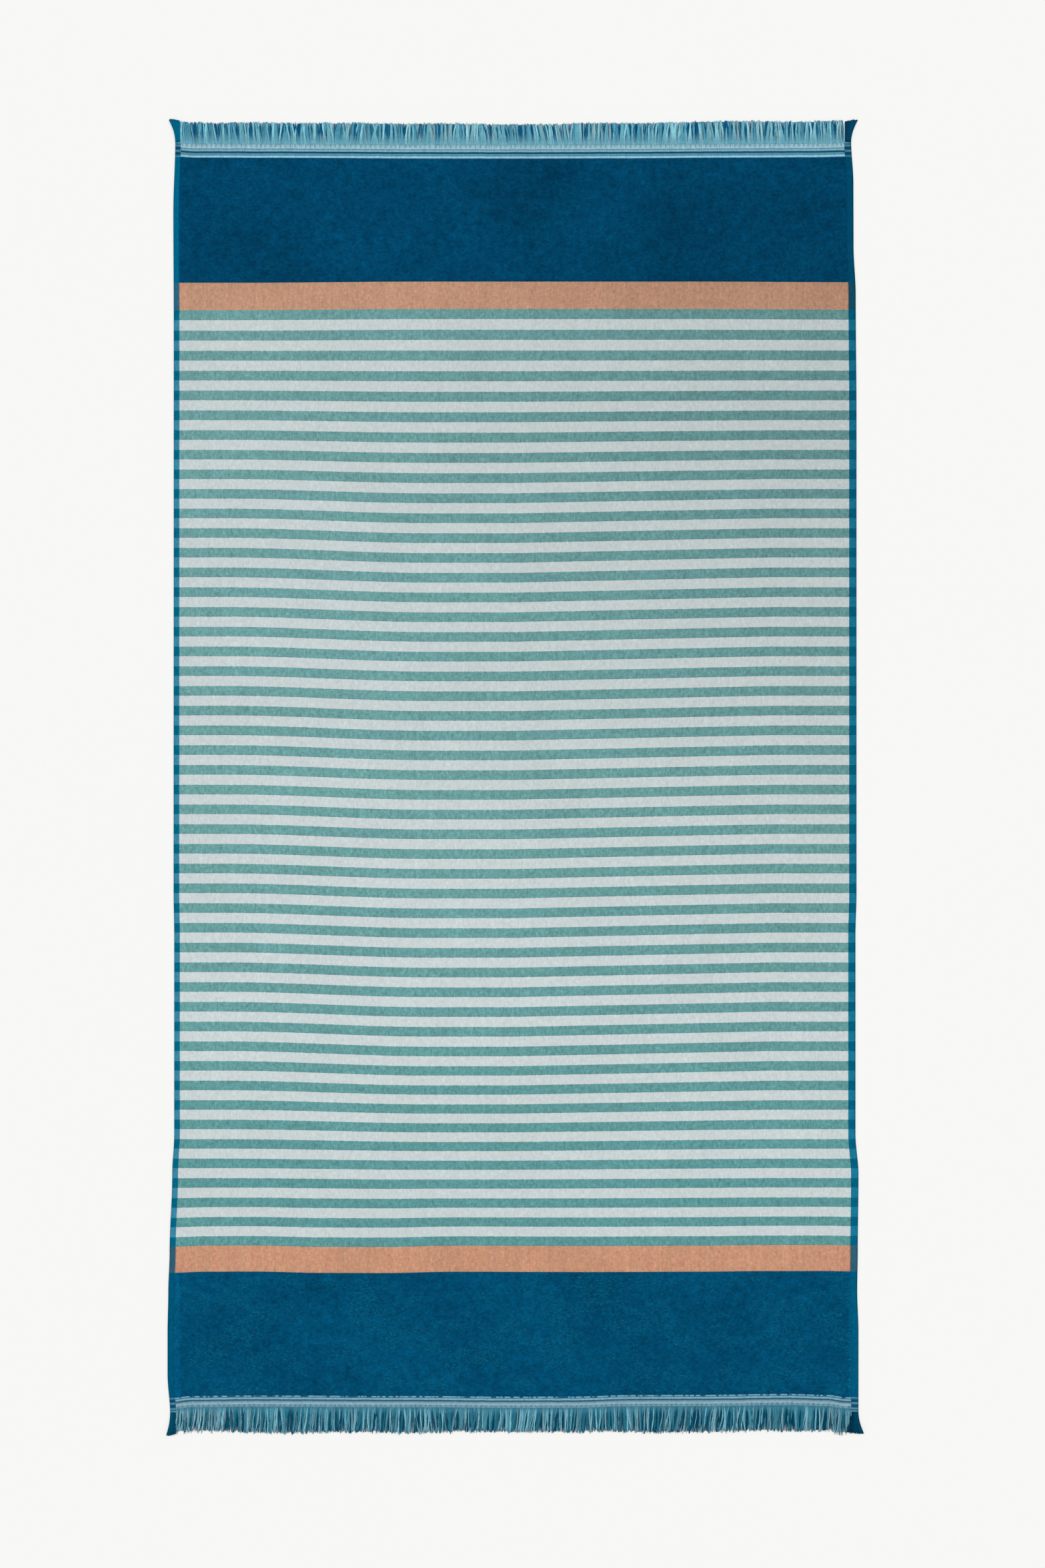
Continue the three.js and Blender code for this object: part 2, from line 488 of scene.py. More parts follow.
def stripedMaterial():
    material, tree, surface = newMaterial("stripedWeave", 0.92, 0.12)
    place, u, v = clothPlace(tree)
    crossing, warpUp = threads(tree, u, v)
    factor = heather(tree, place, 0.8, 0.6, 0.2)
    wobble = calc(tree, "MULTIPLY_ADD", speckle(tree, place, (260, 20, 1), 1, 5), 0.7 * mm, -0.35 * mm)
    fromTop = calc(tree, "SUBTRACT", fieldEnd, calc(tree, "ADD", v, wobble))
    phase = calc(tree, "FRACT", calc(tree, "DIVIDE", fromTop, stripePeriod))
    tealShare = stripes["tealWidth"] / stripePeriod
    isTeal = calc(tree, "LESS_THAN", phase, tealShare)
    atLength = calc(tree, "MULTIPLY_ADD", v, 0.5 / fieldEnd, 0.5)
    tealColor = ramp(tree, atLength, tealAlong)
    paleColor = ramp(tree, atLength, paleAlong)
    weftColor = mixColor(tree, isTeal, paleColor, tealColor)
    warpColor = mixColor(tree, isTeal, tinted(tree, paleColor, 0.9), tinted(tree, tealColor, 1.12))
    color = mixColor(tree, warpUp, weftColor, warpColor)
    lip = between(tree, phase, tealShare - 0.9 * mm / stripePeriod, tealShare)
    calm = calc(tree, "MULTIPLY_ADD", isTeal, 0.6, 0.4)  # the pale yarns are more even
    swing = calc(tree, "MULTIPLY_ADD", calc(tree, "SUBTRACT", factor, 1), calm, 1)
    shade = calc(tree, "MULTIPLY", swing, calc(tree, "MULTIPLY_ADD", lip, -0.14, 1))
    # painted shade of the light falling off towards the head's right side, stronger on the teal
    paintedFalloff = paintedLightFalloff(tree, u, v, calc(tree, "MULTIPLY_ADD", isTeal, 0.12, 0.12))
    finishWeave(tree, surface, color, calc(tree, "MULTIPLY", shade, paintedFalloff), crossing)
    return material


# dyes along the field, from the foot (0) to the head (1)
tealAlong = (
    (0.00, dye(91, 148, 149)), (0.10, dye(93, 150, 151)), (0.27, dye(103, 156, 156)),
    (0.48, dye(107, 159, 158)), (0.70, dye(108, 158, 158)), (0.90, dye(107, 155, 155)),
)
paleAlong = (
    (0.00, dye(208, 217, 218)), (0.10, dye(209, 219, 220)), (0.27, dye(212, 222, 222)),
    (0.48, dye(209, 219, 220)), (0.70, dye(207, 217, 218)), (0.90, dye(206, 216, 217)),
)


def coralMaterial():
    material, tree, surface = newMaterial("coralWeave", 0.92, 0.12)
    place, u, v = clothPlace(tree)
    crossing, warpUp = threads(tree, u, v)
    factor = heather(tree, place, 0.55, 0.45, 0.25)
    tone = speckle(tree, place, (420, 12, 1), 3, 31)
    warpColor = ramp(tree, tone, (
        (0.30, dye(206, 144, 126)), (0.45, weave["coralWarp"]), (0.60, dye(193, 164, 128)),
        (0.72, dye(168, 148, 114)),
    ))
    color = mixColor(tree, warpUp, weave["coral"], warpColor)
    isHead = calc(tree, "GREATER_THAN", v, 0)
    endTone = mixColor(tree, isHead, (0.965, 0.875, 0.85, 1), (0.91, 0.885, 0.90, 1))
    color = mixColor(tree, 1, color, endTone, "MULTIPLY")
    rim = calc(tree, "GREATER_THAN", calc(tree, "ABSOLUTE", u), innerHalf - 2 * mm)
    color = mixColor(tree, calc(tree, "MULTIPLY", rim, 0.6), color, dye(196, 126, 90))
    # the coral carries the same painted shade towards the head's right side
    finishWeave(tree, surface, color, calc(tree, "MULTIPLY", factor, paintedLightFalloff(tree, u, v, 0.17)), crossing)
    return material


def groundMaterial():
    material, tree, surface = newMaterial("groundWeave", 0.95, 0.05)
    place, u, v = clothPlace(tree)
    crossing, warpUp = threads(tree, u, v)
    factor = heather(tree, place, 0.6, 0.5, 0.2)
    color = mixColor(tree, warpUp, weave["ground"], dye(70, 130, 155))
    finishWeave(tree, surface, color, factor, crossing)
    return material


# Ruled lines of each header, in mm outwards from the pile: where each colour is full
headerLines = {
    "head": (
        (0.0, 96, 146, 170), (0.8, 152, 202, 224), (2.4, 152, 202, 224), (3.0, 84, 140, 162),
        (4.1, 78, 138, 160), (5.2, 90, 154, 175), (5.8, 70, 138, 160), (6.5, 6, 72, 98),
        (8.1, 2, 68, 94), (8.8, 122, 176, 198), (10.3, 124, 176, 196), (10.9, 98, 144, 162),
        (11.9, 100, 146, 162), (12.9, 162, 198, 211), (14.4, 160, 196, 208), (15.4, 146, 186, 199),
        (18.0, 138, 184, 198), (20.0, 128, 178, 195),
    ),
    "foot": (
        (0.0, 6, 72, 106), (2.2, 30, 94, 122), (2.9, 74, 126, 148), (3.5, 124, 174, 194),
        (5.1, 124, 174, 194), (5.6, 36, 86, 106), (6.9, 40, 90, 110), (7.6, 100, 140, 158),
        (9.0, 122, 158, 175), (10.2, 144, 178, 194), (11.6, 140, 174, 190), (12.6, 116, 154, 170),
        (14.8, 104, 150, 166), (16.4, 82, 134, 152), (18.2, 68, 125, 145), (20.0, 56, 115, 134),
    ),
}
seam = {
    "pitch": 6.6 * mm,
    "gapWidth": 0.15,
}


def headerMaterial(end):
    material, tree, surface = newMaterial(end + "HeaderWeave", 0.9, 0.12)
    place, u, v = clothPlace(tree)
    crossing, _ = threads(tree, u, v)
    factor = heather(tree, place, 0.5, 0.3, 0.1)
    wobble = calc(tree, "MULTIPLY_ADD", speckle(tree, place, (90, 30, 1), 2, 5), 0.8 * mm, -0.4 * mm)
    out = calc(tree, "SUBTRACT", calc(tree, "ABSOLUTE", v), pileEnd)
    out = calc(tree, "ADD", out, wobble)
    span = rootLine - pileEnd
    stops = tuple((at / (span / mm), dye(r, g, b)) for at, r, g, b in headerLines[end])
    color = ramp(tree, calc(tree, "DIVIDE", out, span), stops)
    # the seam gathers the warp in bundles; the gaps between them get painted shade
    jitter = calc(tree, "MULTIPLY_ADD", speckle(tree, place, (60, 60, 1), 1, 9), 0.5, -0.25)
    step = calc(tree, "FRACT", calc(tree, "ADD", calc(tree, "DIVIDE", u, seam["pitch"]), jitter))
    gapShade = between(tree, step, 0.4, 0.4 + seam["gapWidth"])
    zone = between(tree, out, 13.4 * mm, 21 * mm)
    gapShadeColor = dye(74, 130, 150) if end == "head" else dye(44, 104, 124)
    color = mixColor(tree, calc(tree, "MULTIPLY", calc(tree, "MULTIPLY", gapShade, zone), 0.45), color, gapShadeColor)
    # towards the outer edge the threads already part into yarns
    strand = spread(tree, speckle(tree, place, (480, 16, 1), 2, 21), 0.5, 1.5)
    parted = smoothRange(tree, out, 12 * mm, 20 * mm)
    factor = calc(tree, "MULTIPLY", factor, mixFloat(tree, parted, 1, strand))
    if end == "foot":
        # the first white weft is half hidden by loops that lean over it
        patchy = smoothRange(tree, speckle(tree, place, (170, 3, 1), 2, 17), 0.42, 0.52)
        line = between(tree, out, 0.5 * mm, 2.0 * mm)
        color = mixColor(tree, calc(tree, "MULTIPLY", patchy, line), color, dye(128, 178, 198))
    finishWeave(tree, surface, color, factor, crossing)
    return material


clothMaterials = {
    "striped": stripedMaterial(),
    "coral": coralMaterial(),
    "ground": groundMaterial(),
    "headHeader": headerMaterial("head"),
    "footHeader": headerMaterial("foot"),
}


def clothPlaceAt(u, v):
    x, y = lieAt(u, v)
    z = clothTop - weave["seat"] + liftAt(x, y)
    if abs(v) > pileEnd:
        z += weave["ribHeight"] * math.sin((abs(v) - pileEnd) / weave["ribPitch"] * math.pi)
    return x, y, z


def clothPiece(name, low, high, material, step=5 * mm, fineZones=foldRows):
    columns = evenSteps(-innerHalf, innerHalf, 6 * mm)
    rows = rowsBetween(low, high, step, fineZones)
    bm = gridMesh(columns, rows, clothPlaceAt)
    for edge in bm.edges:
        edge.smooth = not edge.is_boundary
    piece = finishPiece(name, bm, clothMaterials[material])
    wall = piece.modifiers.new("thickness", "SOLIDIFY")
    wall.thickness = weave["wall"]
    wall.offset = -1
    return piece


headStripes = clothPiece("head_stripes", sectionLine, fieldEnd, "striped")
middleStripes = clothPiece("middle_stripes", -sectionLine, sectionLine, "striped")
footStripes = clothPiece("foot_stripes", -fieldEnd, -sectionLine, "striped")
headCoral = clothPiece("head_coral", fieldEnd, coralEnd, "coral")
footCoral = clothPiece("foot_coral", -coralEnd, -fieldEnd, "coral")
headGround = clothPiece("head_ground", coralEnd, pileEnd, "ground")
footGround = clothPiece("foot_ground", -pileEnd, -coralEnd, "ground")
headHeader = clothPiece("head_header", pileEnd, rootLine, "headHeader", 0.6 * mm)
footHeader = clothPiece("foot_header", -rootLine, -pileEnd, "footHeader", 0.6 * mm)
print("woven cloth made")


# Front pile on both ends

pile = {
    "step": 1.25 * mm,
    "edgeRound": 1.8 * mm,
    "headLoop": 1.9 * mm,
    "footLoop": 2.3 * mm,
    "headRelief": 0.28 * mm,
    "footRelief": 0.45 * mm,
}


def loopShape(x, y, size, seed):
    # rounded loop tops packed side by side, 0 between them and 1 on top
    nearest = noise.voronoi(Vector((x / size, y / size, seed)))[0][0]
    return 1 - min(1, (nearest / 0.62) ** 2)


def curlHighlights(tree, place, perMetre, patch):
    # here and there a loop lies on its side, a short curl: the mask raises it in the bump and paints a
    # highlight on it
    cells = tree.nodes.new("ShaderNodeTexVoronoi")
    cells.voronoi_dimensions = "2D"
    cells.inputs["Scale"].default_value = perMetre
    tree.links.new(place, cells.inputs["Vector"])
    away = tree.nodes.new("ShaderNodeVectorMath")
    away.operation = "SUBTRACT"
    tree.links.new(place, away.inputs[0])
    tree.links.new(cells.outputs["Position"], away.inputs[1])
    local = tree.nodes.new("ShaderNodeSeparateXYZ")
    tree.links.new(away.outputs[0], local.inputs[0])
    chance = tree.nodes.new("ShaderNodeSeparateXYZ")
    tree.links.new(cells.outputs["Color"], chance.inputs[0])
    dx = local.outputs[0]
    half = 0.48 / perMetre
    slope = calc(tree, "MULTIPLY_ADD", chance.outputs[0], 1.2, -0.6)
    bend = calc(tree, "MULTIPLY_ADD", chance.outputs[1], 420, -210)
    line = calc(tree, "MULTIPLY", dx, calc(tree, "ADD", slope, calc(tree, "MULTIPLY", bend, dx)))
    off = calc(tree, "ABSOLUTE", calc(tree, "SUBTRACT", local.outputs[1], line))
    ridge = calc(tree, "SUBTRACT", 1, smoothRange(tree, off, 0, 1.5 * mm))
    ends = calc(tree, "SUBTRACT", 1, smoothRange(tree, calc(tree, "ABSOLUTE", dx), half * 0.3, half))
    present = smoothRange(tree, calc(tree, "SUBTRACT", patch, chance.outputs[2]), 0, 0.55)
    return calc(tree, "MULTIPLY", calc(tree, "MULTIPLY", ridge, ends), present)


def pileMaterial(end):
    material, tree, surface = newMaterial(end + "Pile", 0.95, 0.02)
    place = objectPlace(tree)
    fine = speckle(tree, place, (780, 780, 780), 2, 2)
    tuft = speckle(tree, place, (250, 300, 250), 2, 12)
    mottle = speckle(tree, place, (75, 75, 75), 3, 8)
    broad = speckle(tree, place, (8, 9, 8), 2, 15)
    base = dye(1, 66, 100) if end == "head" else dye(1, 74, 109)
    factor = calc(tree, "MULTIPLY", spread(tree, fine, 0.5, 0.8), spread(tree, mottle, 0.5, 0.8))
    factor = calc(tree, "MULTIPLY", factor, spread(tree, tuft, 0.5, 1.1))
    factor = calc(tree, "MULTIPLY", factor, spread(tree, broad, 0.5, 0.7))
    parts = tree.nodes.new("ShaderNodeSeparateXYZ")
    tree.links.new(place, parts.inputs[0])
    # painted shade of the light falling off towards the head's right side
    factor = calc(tree, "MULTIPLY", factor, paintedLightFalloff(tree, *parts.outputs[:2], 0.12))
    color = tinted(tree, base, factor)
    patch = smoothRange(tree, speckle(tree, place, (22, 32, 22), 3, 51), 0.40, 0.64)
    fleck = calc(tree, "MAXIMUM", curlHighlights(tree, place, 180, patch), curlHighlights(tree, place, 265, patch))
    tuftHighlights = smoothRange(tree, speckle(tree, place, (250, 560, 250), 2, 61), 0.50, 0.70)
    tuftHighlights = calc(tree, "MULTIPLY", tuftHighlights, calc(tree, "MULTIPLY_ADD", patch, 0.85, 0.15))
    fleck = calc(tree, "ADD", calc(tree, "MULTIPLY", fleck, 0.34), calc(tree, "MULTIPLY", tuftHighlights, 0.5))
    fleck = calc(tree, "MULTIPLY", fleck, 0.2 if end == "head" else 1)
    # painted highlight: the curls and tufts are tinted lighter where the light catches their tops, besides
    # their real bump below
    color = mixColor(tree, fleck, color, dye(16, 114, 148))
    beside = smoothRange(tree, calc(tree, "ABSOLUTE", parts.outputs[0]), innerHalf - 4 * mm, innerHalf + mm)
    color = tinted(tree, color, calc(tree, "MULTIPLY_ADD", beside, 0.3, 1))
    tree.links.new(color, surface.inputs["Base Color"])
    height = calc(tree, "ADD", fine, calc(tree, "MULTIPLY", fleck, 2.6))
    bumped(tree, surface, height, 0.6 * mm, 0.8)
    return material


def frontPile(name, end, low, high):
    size = pile[end + "Loop"]
    relief = pile[end + "Relief"]
    seed = 2.5 if end == "head" else 7.5

    def place(u, v):
        x, y = lieAt(u, v)
        inside = min(innerHalf - abs(u), v - low, high - v)
        t = 1 - min(1, inside / pile["edgeRound"])
        crown = math.sqrt(max(0, 1 - t * t))
        loops = loopShape(x, y, size, seed)
        soft = noise.noise(Vector((x * 110, y * 150, seed)))
        thick = pileTop - clothTop - relief * (1 - loops) + 0.12 * mm * soft
        ragged = 0.35 * mm * noise.noise(Vector((x * 420, y * 420, seed + 3))) * (1 - crown)
        return x, y + ragged, clothTop - 0.25 * mm + liftAt(x, y) + crown * (thick + 0.2 * mm)

    columns = evenSteps(-innerHalf, innerHalf, pile["step"])
    rows = rowsBetween(low, high, pile["step"], ())
    bm = gridMesh(columns, rows, place)
    rim = [edge for edge in bm.edges if edge.is_boundary]
    for edge in rim:
        edge.smooth = False
    bmesh.ops.holes_fill(bm, edges=rim, sides=0)
    bmesh.ops.recalc_face_normals(bm, faces=bm.faces)
    piece = finishPiece(name, bm, pileMaterial(end))
    return piece


headPile = frontPile("head_pile", "head", coralEnd, pileEnd)
footPile = frontPile("foot_pile", "foot", -pileEnd, -coralEnd)
print("front pile made")


# Terry back, in three lengths

terry = {
    "step": 2.5 * mm,
    "loop": 3.6 * mm,
    "relief": 0.45 * mm,
}


def terryMaterial():
    material, tree, surface = newMaterial("backTerry", 0.96, 0.04)
    place, u, v = clothPlace(tree)
    cells = tree.nodes.new("ShaderNodeTexVoronoi")
    cells.inputs["Scale"].default_value = 560
    tree.links.new(place, cells.inputs["Vector"])
    loops = calc(tree, "SUBTRACT", 1, cells.outputs["Distance"])
    fine = speckle(tree, place, (1500, 1500, 1), 2, 4)
    mottle = speckle(tree, place, (60, 60, 1), 3, 6)
    broad = speckle(tree, place, (8, 6, 1), 2, 19)
    # painted shade: the colour darkens in the gaps between the loops, along with their bump
    factor = calc(tree, "MULTIPLY", spread(tree, loops, 0.55, 0.9), spread(tree, mottle, 0.5, 0.5))
    factor = calc(tree, "MULTIPLY", factor, spread(tree, broad, 0.5, 0.35))
    factor = calc(tree, "MULTIPLY", factor, spread(tree, fine, 0.5, 0.5))
    tree.links.new(tinted(tree, dye(6, 84, 122), factor), surface.inputs["Base Color"])
    bumped(tree, surface, calc(tree, "ADD", loops, calc(tree, "MULTIPLY", fine, 0.3)), 0.8 * mm, 0.7)
    return material


backMaterial = terryMaterial()


def terryBack(name, low, high):
    def place(u, v):
        x, y = lieAt(u, v)
        inside = min(innerHalf - abs(u), pileEnd - abs(v))
        t = 1 - min(1, inside / (2.5 * mm))
        crown = math.sqrt(max(0, 1 - t * t))
        loops = loopShape(x, y, terry["loop"], 1.5)
        depth = backTop - terry["relief"] * (1 - loops)
        return x, y, backTop + 0.3 * mm + liftAt(x, y) - crown * (depth + 0.28 * mm)

    columns = evenSteps(-innerHalf, innerHalf, terry["step"])
    rows = rowsBetween(low, high, terry["step"], foldRows)
    bm = gridMesh(columns, rows, place)
    bmesh.ops.reverse_faces(bm, faces=bm.faces)
    piece = finishPiece(name, bm, backMaterial)
    return piece


headBack = terryBack("head_back_loops", sectionLine, pileEnd)
middleBack = terryBack("middle_back_loops", -sectionLine, sectionLine)
footBack = terryBack("foot_back_loops", -pileEnd, -sectionLine)
print("terry back made")


# Selvedges

selvedge = {
    "overlap": 0.6 * mm,
    "thick": 0.8 * mm,
    "droop": 1.1 * mm,
    "ribs": 0.1 * mm,
}


def selvedgeMaterial(side):
    material, tree, surface = newMaterial(side + "Selvedge", 0.9, 0.02)
    place, u, v = clothPlace(tree)
    crossing, _ = threads(tree, u, v)
    factor = heather(tree, place, 0.5, 0.5, 0.1)
    isLeft = side == "left"
    overTeal = dye(0, 104, 134) if isLeft else dye(0, 97, 127)
    overPale = dye(60, 137, 166) if isLeft else dye(24, 121, 153)
    phase = calc(tree, "FRACT", calc(tree, "DIVIDE", calc(tree, "SUBTRACT", fieldEnd, v), stripePeriod))
    isTeal = calc(tree, "LESS_THAN", phase, stripes["tealWidth"] / stripePeriod)
    color = mixColor(tree, isTeal, overPale, overTeal)
    beside = calc(tree, "ABSOLUTE", v)
    isHead = calc(tree, "GREATER_THAN", v, 0)
    inCoral = between(tree, beside, fieldEnd, coralEnd)
    besideCoral = mixColor(tree, isHead, dye(48, 96, 118), dye(46, 103, 132) if isLeft else dye(20, 82, 106))
    color = mixColor(tree, inCoral, color, besideCoral)
    inPile = between(tree, beside, coralEnd, pileEnd)
    headSide = dye(0, 103, 140) if isLeft else dye(0, 82, 116)
    footSide = dye(0, 87, 120) if isLeft else dye(0, 90, 124)
    color = mixColor(tree, inPile, color, mixColor(tree, isHead, footSide, headSide))
    # the header's lines carry on across the edge threads
    out = calc(tree, "DIVIDE", calc(tree, "SUBTRACT", beside, pileEnd), rootLine - pileEnd)
    lines = ramp(tree, out, (
        (0.00, dye(90, 150, 175)), (0.12, dye(20, 90, 122)), (0.26, dye(2, 58, 88)),
        (0.38, dye(84, 146, 172)), (0.50, dye(10, 78, 108)), (0.62, dye(4, 74, 108)),
        (0.74, dye(90, 152, 178)), (0.84, dye(8, 72, 104)), (0.92, dye(120, 172, 194)),
        (1.00, dye(20, 86, 120)),
    ))
    color = mixColor(tree, calc(tree, "GREATER_THAN", out, 0), color, lines)
    if not isLeft:
        # painted shade of the light falling off towards the head's right side
        factor = calc(tree, "MULTIPLY", factor, paintedLightFalloff(tree, u, v, 0.2))
    # painted shade: the outer rim is darkened where the edge turns down, most on the right side
    rim = smoothRange(tree, calc(tree, "ABSOLUTE", u), halfWidth - 2.2 * mm, halfWidth - 0.4 * mm)
    factor = calc(tree, "MULTIPLY", factor, calc(tree, "MULTIPLY_ADD", rim, -0.12 if isLeft else -0.35, 1))
    finishWeave(tree, surface, color, factor, crossing)
    return material


selvedgeMaterials = {"left": selvedgeMaterial("left"), "right": selvedgeMaterial("right")}


def selvedgePiece(name, side, low, high):
    def place(u, v):
        x, y = lieAt(u, v)
        across = (abs(u) - innerHalf) / (halfWidth - innerHalf)
        ribs = selvedge["ribs"] * math.cos(across * 4 * math.pi)
        drop = selvedge["droop"] * ease(0, 1.2, across)
        return x, y, clothTop + 0.08 * mm + ribs - drop + liftAt(x, y) * (1 - 0.5 * ease(0, 1, across))

    columns = evenSteps(innerHalf - selvedge["overlap"], halfWidth, 0.95 * mm)
    if side == "left":
        columns = [-u for u in reversed(columns)]
    rows = rowsBetween(low, high, 5 * mm, foldRows)
    bm = gridMesh(columns, rows, place)
    for edge in bm.edges:
        across = edge.is_boundary and abs(edge.verts[0].co.y - edge.verts[1].co.y) < 0.3 * mm
        edge.smooth = not across
    piece = finishPiece(name, bm, selvedgeMaterials[side])
    wall = piece.modifiers.new("thickness", "SOLIDIFY")
    wall.thickness = selvedge["thick"]
    wall.offset = -1
    return piece


selvedges = {}
for side in ("left", "right"):
    selvedges["head", side] = selvedgePiece("head_edge_" + side, side, sectionLine, rootLine)
    selvedges["middle", side] = selvedgePiece("middle_edge_" + side, side, -sectionLine, sectionLine)
    selvedges["foot", side] = selvedgePiece("foot_edge_" + side, side, -rootLine, -sectionLine)
print("selvedges made")


# Yarns: fringes, tassels and hem stitches. Each yarn is a thin tube along a few points.

def yarnMaterial(name, roughness=0.9):
    material, tree, surface = newMaterial(name, roughness, 0.05)
    color = tree.nodes.new("ShaderNodeAttribute")
    color.attribute_name = "yarnColor"
    fibre = speckle(tree, objectPlace(tree), (2600, 380, 2600), 2, 6)
    shade = tinted(tree, color.outputs["Color"], spread(tree, fibre, 0.5, 1.2))
    tree.links.new(shade, surface.inputs["Base Color"])
    bumped(tree, surface, fibre, 0.25 * mm, 0.8)
    return material


fringeMaterial = yarnMaterial("fringeYarn")
tasselMaterial = yarnMaterial("tasselYarn")
threadMaterial = yarnMaterial("seamThread", 0.8)


def yarnPiece(name, yarns, material, body):
    # yarns: lists of (x, y, z, radius), each with the colours of its points
    curve = bpy.data.curves.new(name, "CURVE")
    curve.dimensions = "3D"
    curve.bevel_depth = mm
    curve.bevel_resolution = 0
    colors = []
    for points, pointColors in yarns:
        spline = curve.splines.new("POLY")
        spline.points.add(len(points) - 1)
        for point, (x, y, z, radius) in zip(spline.points, points):
            point.co = (x, y, z, 1)
            point.radius = radius / mm
        for color in pointColors:
            colors += color * 4  # each point becomes a ring of four
    holder = bpy.data.objects.new(name + "_line", curve)
    mesh = bpy.data.meshes.new_from_object(holder)
    bpy.data.objects.remove(holder)
    bpy.data.curves.remove(curve)
    bm = bmesh.new()
    bm.from_mesh(mesh)
    bmesh.ops.holes_fill(bm, edges=[edge for edge in bm.edges if edge.is_boundary], sides=4)
    bmesh.ops.recalc_face_normals(bm, faces=bm.faces)
    bm.to_mesh(mesh)
    bm.free()
    mesh.name = name
    layer = mesh.color_attributes.new("yarnColor", "FLOAT_COLOR", "POINT")
    layer.data.foreach_set("color", colors)
    mesh.shade_smooth()
    mesh.materials.clear()
    mesh.materials.append(material)
    piece = bpy.data.objects.new(name, mesh)
    scene.collection.objects.link(piece)
    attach(piece, body)
    return piece


fringe = {
    "lowYarns": 1150,
    "topYarns": 1600,
    "radius": 0.5 * mm,
    "head": {
        "rootInset": 2.2 * mm,  # how far inside the header they start
        "short": 1.9 * mm,  # how far the even cut stays inside the longest yarns
        "ragged": 0.45 * mm,
        "lean": 2.1 * mm,
        "spread": 1.2,
        "fadeFrom": 0,  # the yarns look alike up to here and differ fully from the next place on
        "fade": 14 * mm,
        "root": dye(108, 165, 182),
        "rootPaintedLight": 0.6,  # painted light: how much lighter they are painted where they leave the header, against the shade there
        "low": (
            (0.40, dye(10, 98, 134)), (0.25, dye(2, 90, 140)), (0.20, dye(44, 122, 146)),
            (0.15, dye(96, 156, 176)),
        ),
    },
    "foot": {
        "rootInset": 4.6 * mm,
        "short": 1.0 * mm,
        "ragged": 0.9 * mm,
        "lean": 2.2 * mm,
        "spread": 1,
        "fadeFrom": -5 * mm,
        "fade": 5 * mm,
        "root": dye(62, 124, 144),
        # painted light at the root, as at the head
        "rootPaintedLight": 0.25,
        "low": ((0.45, dye(2, 76, 106)), (0.30, dye(18, 92, 112)), (0.25, dye(44, 112, 134))),
    },
}
# across the towel, and how much longer the yarns are cut there, in mm
cutLines = {
    "head": (
        (-0.43, -0.4), (-0.39, -1.1), (-0.34, -0.1), (-0.28, -0.9), (-0.23, -0.3), (-0.14, -0.9),
        (-0.09, -0.4), (-0.02, -1.8), (0.05, -1.5), (0.10, -0.2), (0.17, -0.6), (0.21, 0.2), (0.31, 1.6),
        (0.36, 0.3), (0.44, 0.8),
    ),
    "foot": (
        (-0.43, -2.0), (-0.39, -0.7), (-0.305, 2.1), (-0.24, 0.5), (-0.19, 0.0), (-0.135, 1.0),
        (-0.06, -1.2), (0.09, -0.8), (0.19, 1.5), (0.25, 1.5), (0.31, 0.3), (0.37, 1.5), (0.41, -0.9),
    ),
}
# dyes of the upper strands: how often each comes, its colour, and the narrowest and widest strand in mm
strands = {
    "head": (
        (0.30, dye(152, 214, 226), 1.2, 3.0), (0.24, dye(114, 184, 202), 1.5, 4.2),
        (0.12, dye(148, 190, 198), 1.2, 3.0), (0.16, dye(78, 156, 182), 1.5, 4.0),
        (0.18, dye(4, 100, 144), 0.8, 2.4),
    ),
    "foot": (
        (0.26, dye(132, 192, 208), 0.8, 2.0), (0.12, dye(126, 164, 176), 1.0, 2.4),
        (0.22, dye(80, 146, 166), 1.4, 3.6), (0.22, dye(40, 116, 140), 1.5, 4.0),
        (0.18, dye(4, 80, 110), 1.0, 2.6),
    ),
}


def pick(palette):
    mark = random.random()
    for row in palette:
        mark -= row[0]
        if mark < 0:
            return row
    return palette[0]


def blendDyes(first, second, share):
    return tuple(a + (b - a) * share for a, b in zip(first, second))


def shaded(color, factor):
    return tuple(channel * factor for channel in color[:3]) + (1,)


def driftAt(u, sign):
    # yarns that hang side by side lean the same way
    slow = 4.0 * mm * noise.noise(Vector((u * 14, sign, 7.5))) - 1.3 * mm
    return slow + 2.4 * mm * noise.noise(Vector((u * 60, sign, 3.5)))


def atFootCorner(end, u):
    return end == "foot" and (u < -0.405 or 0.414 < u < 0.434)


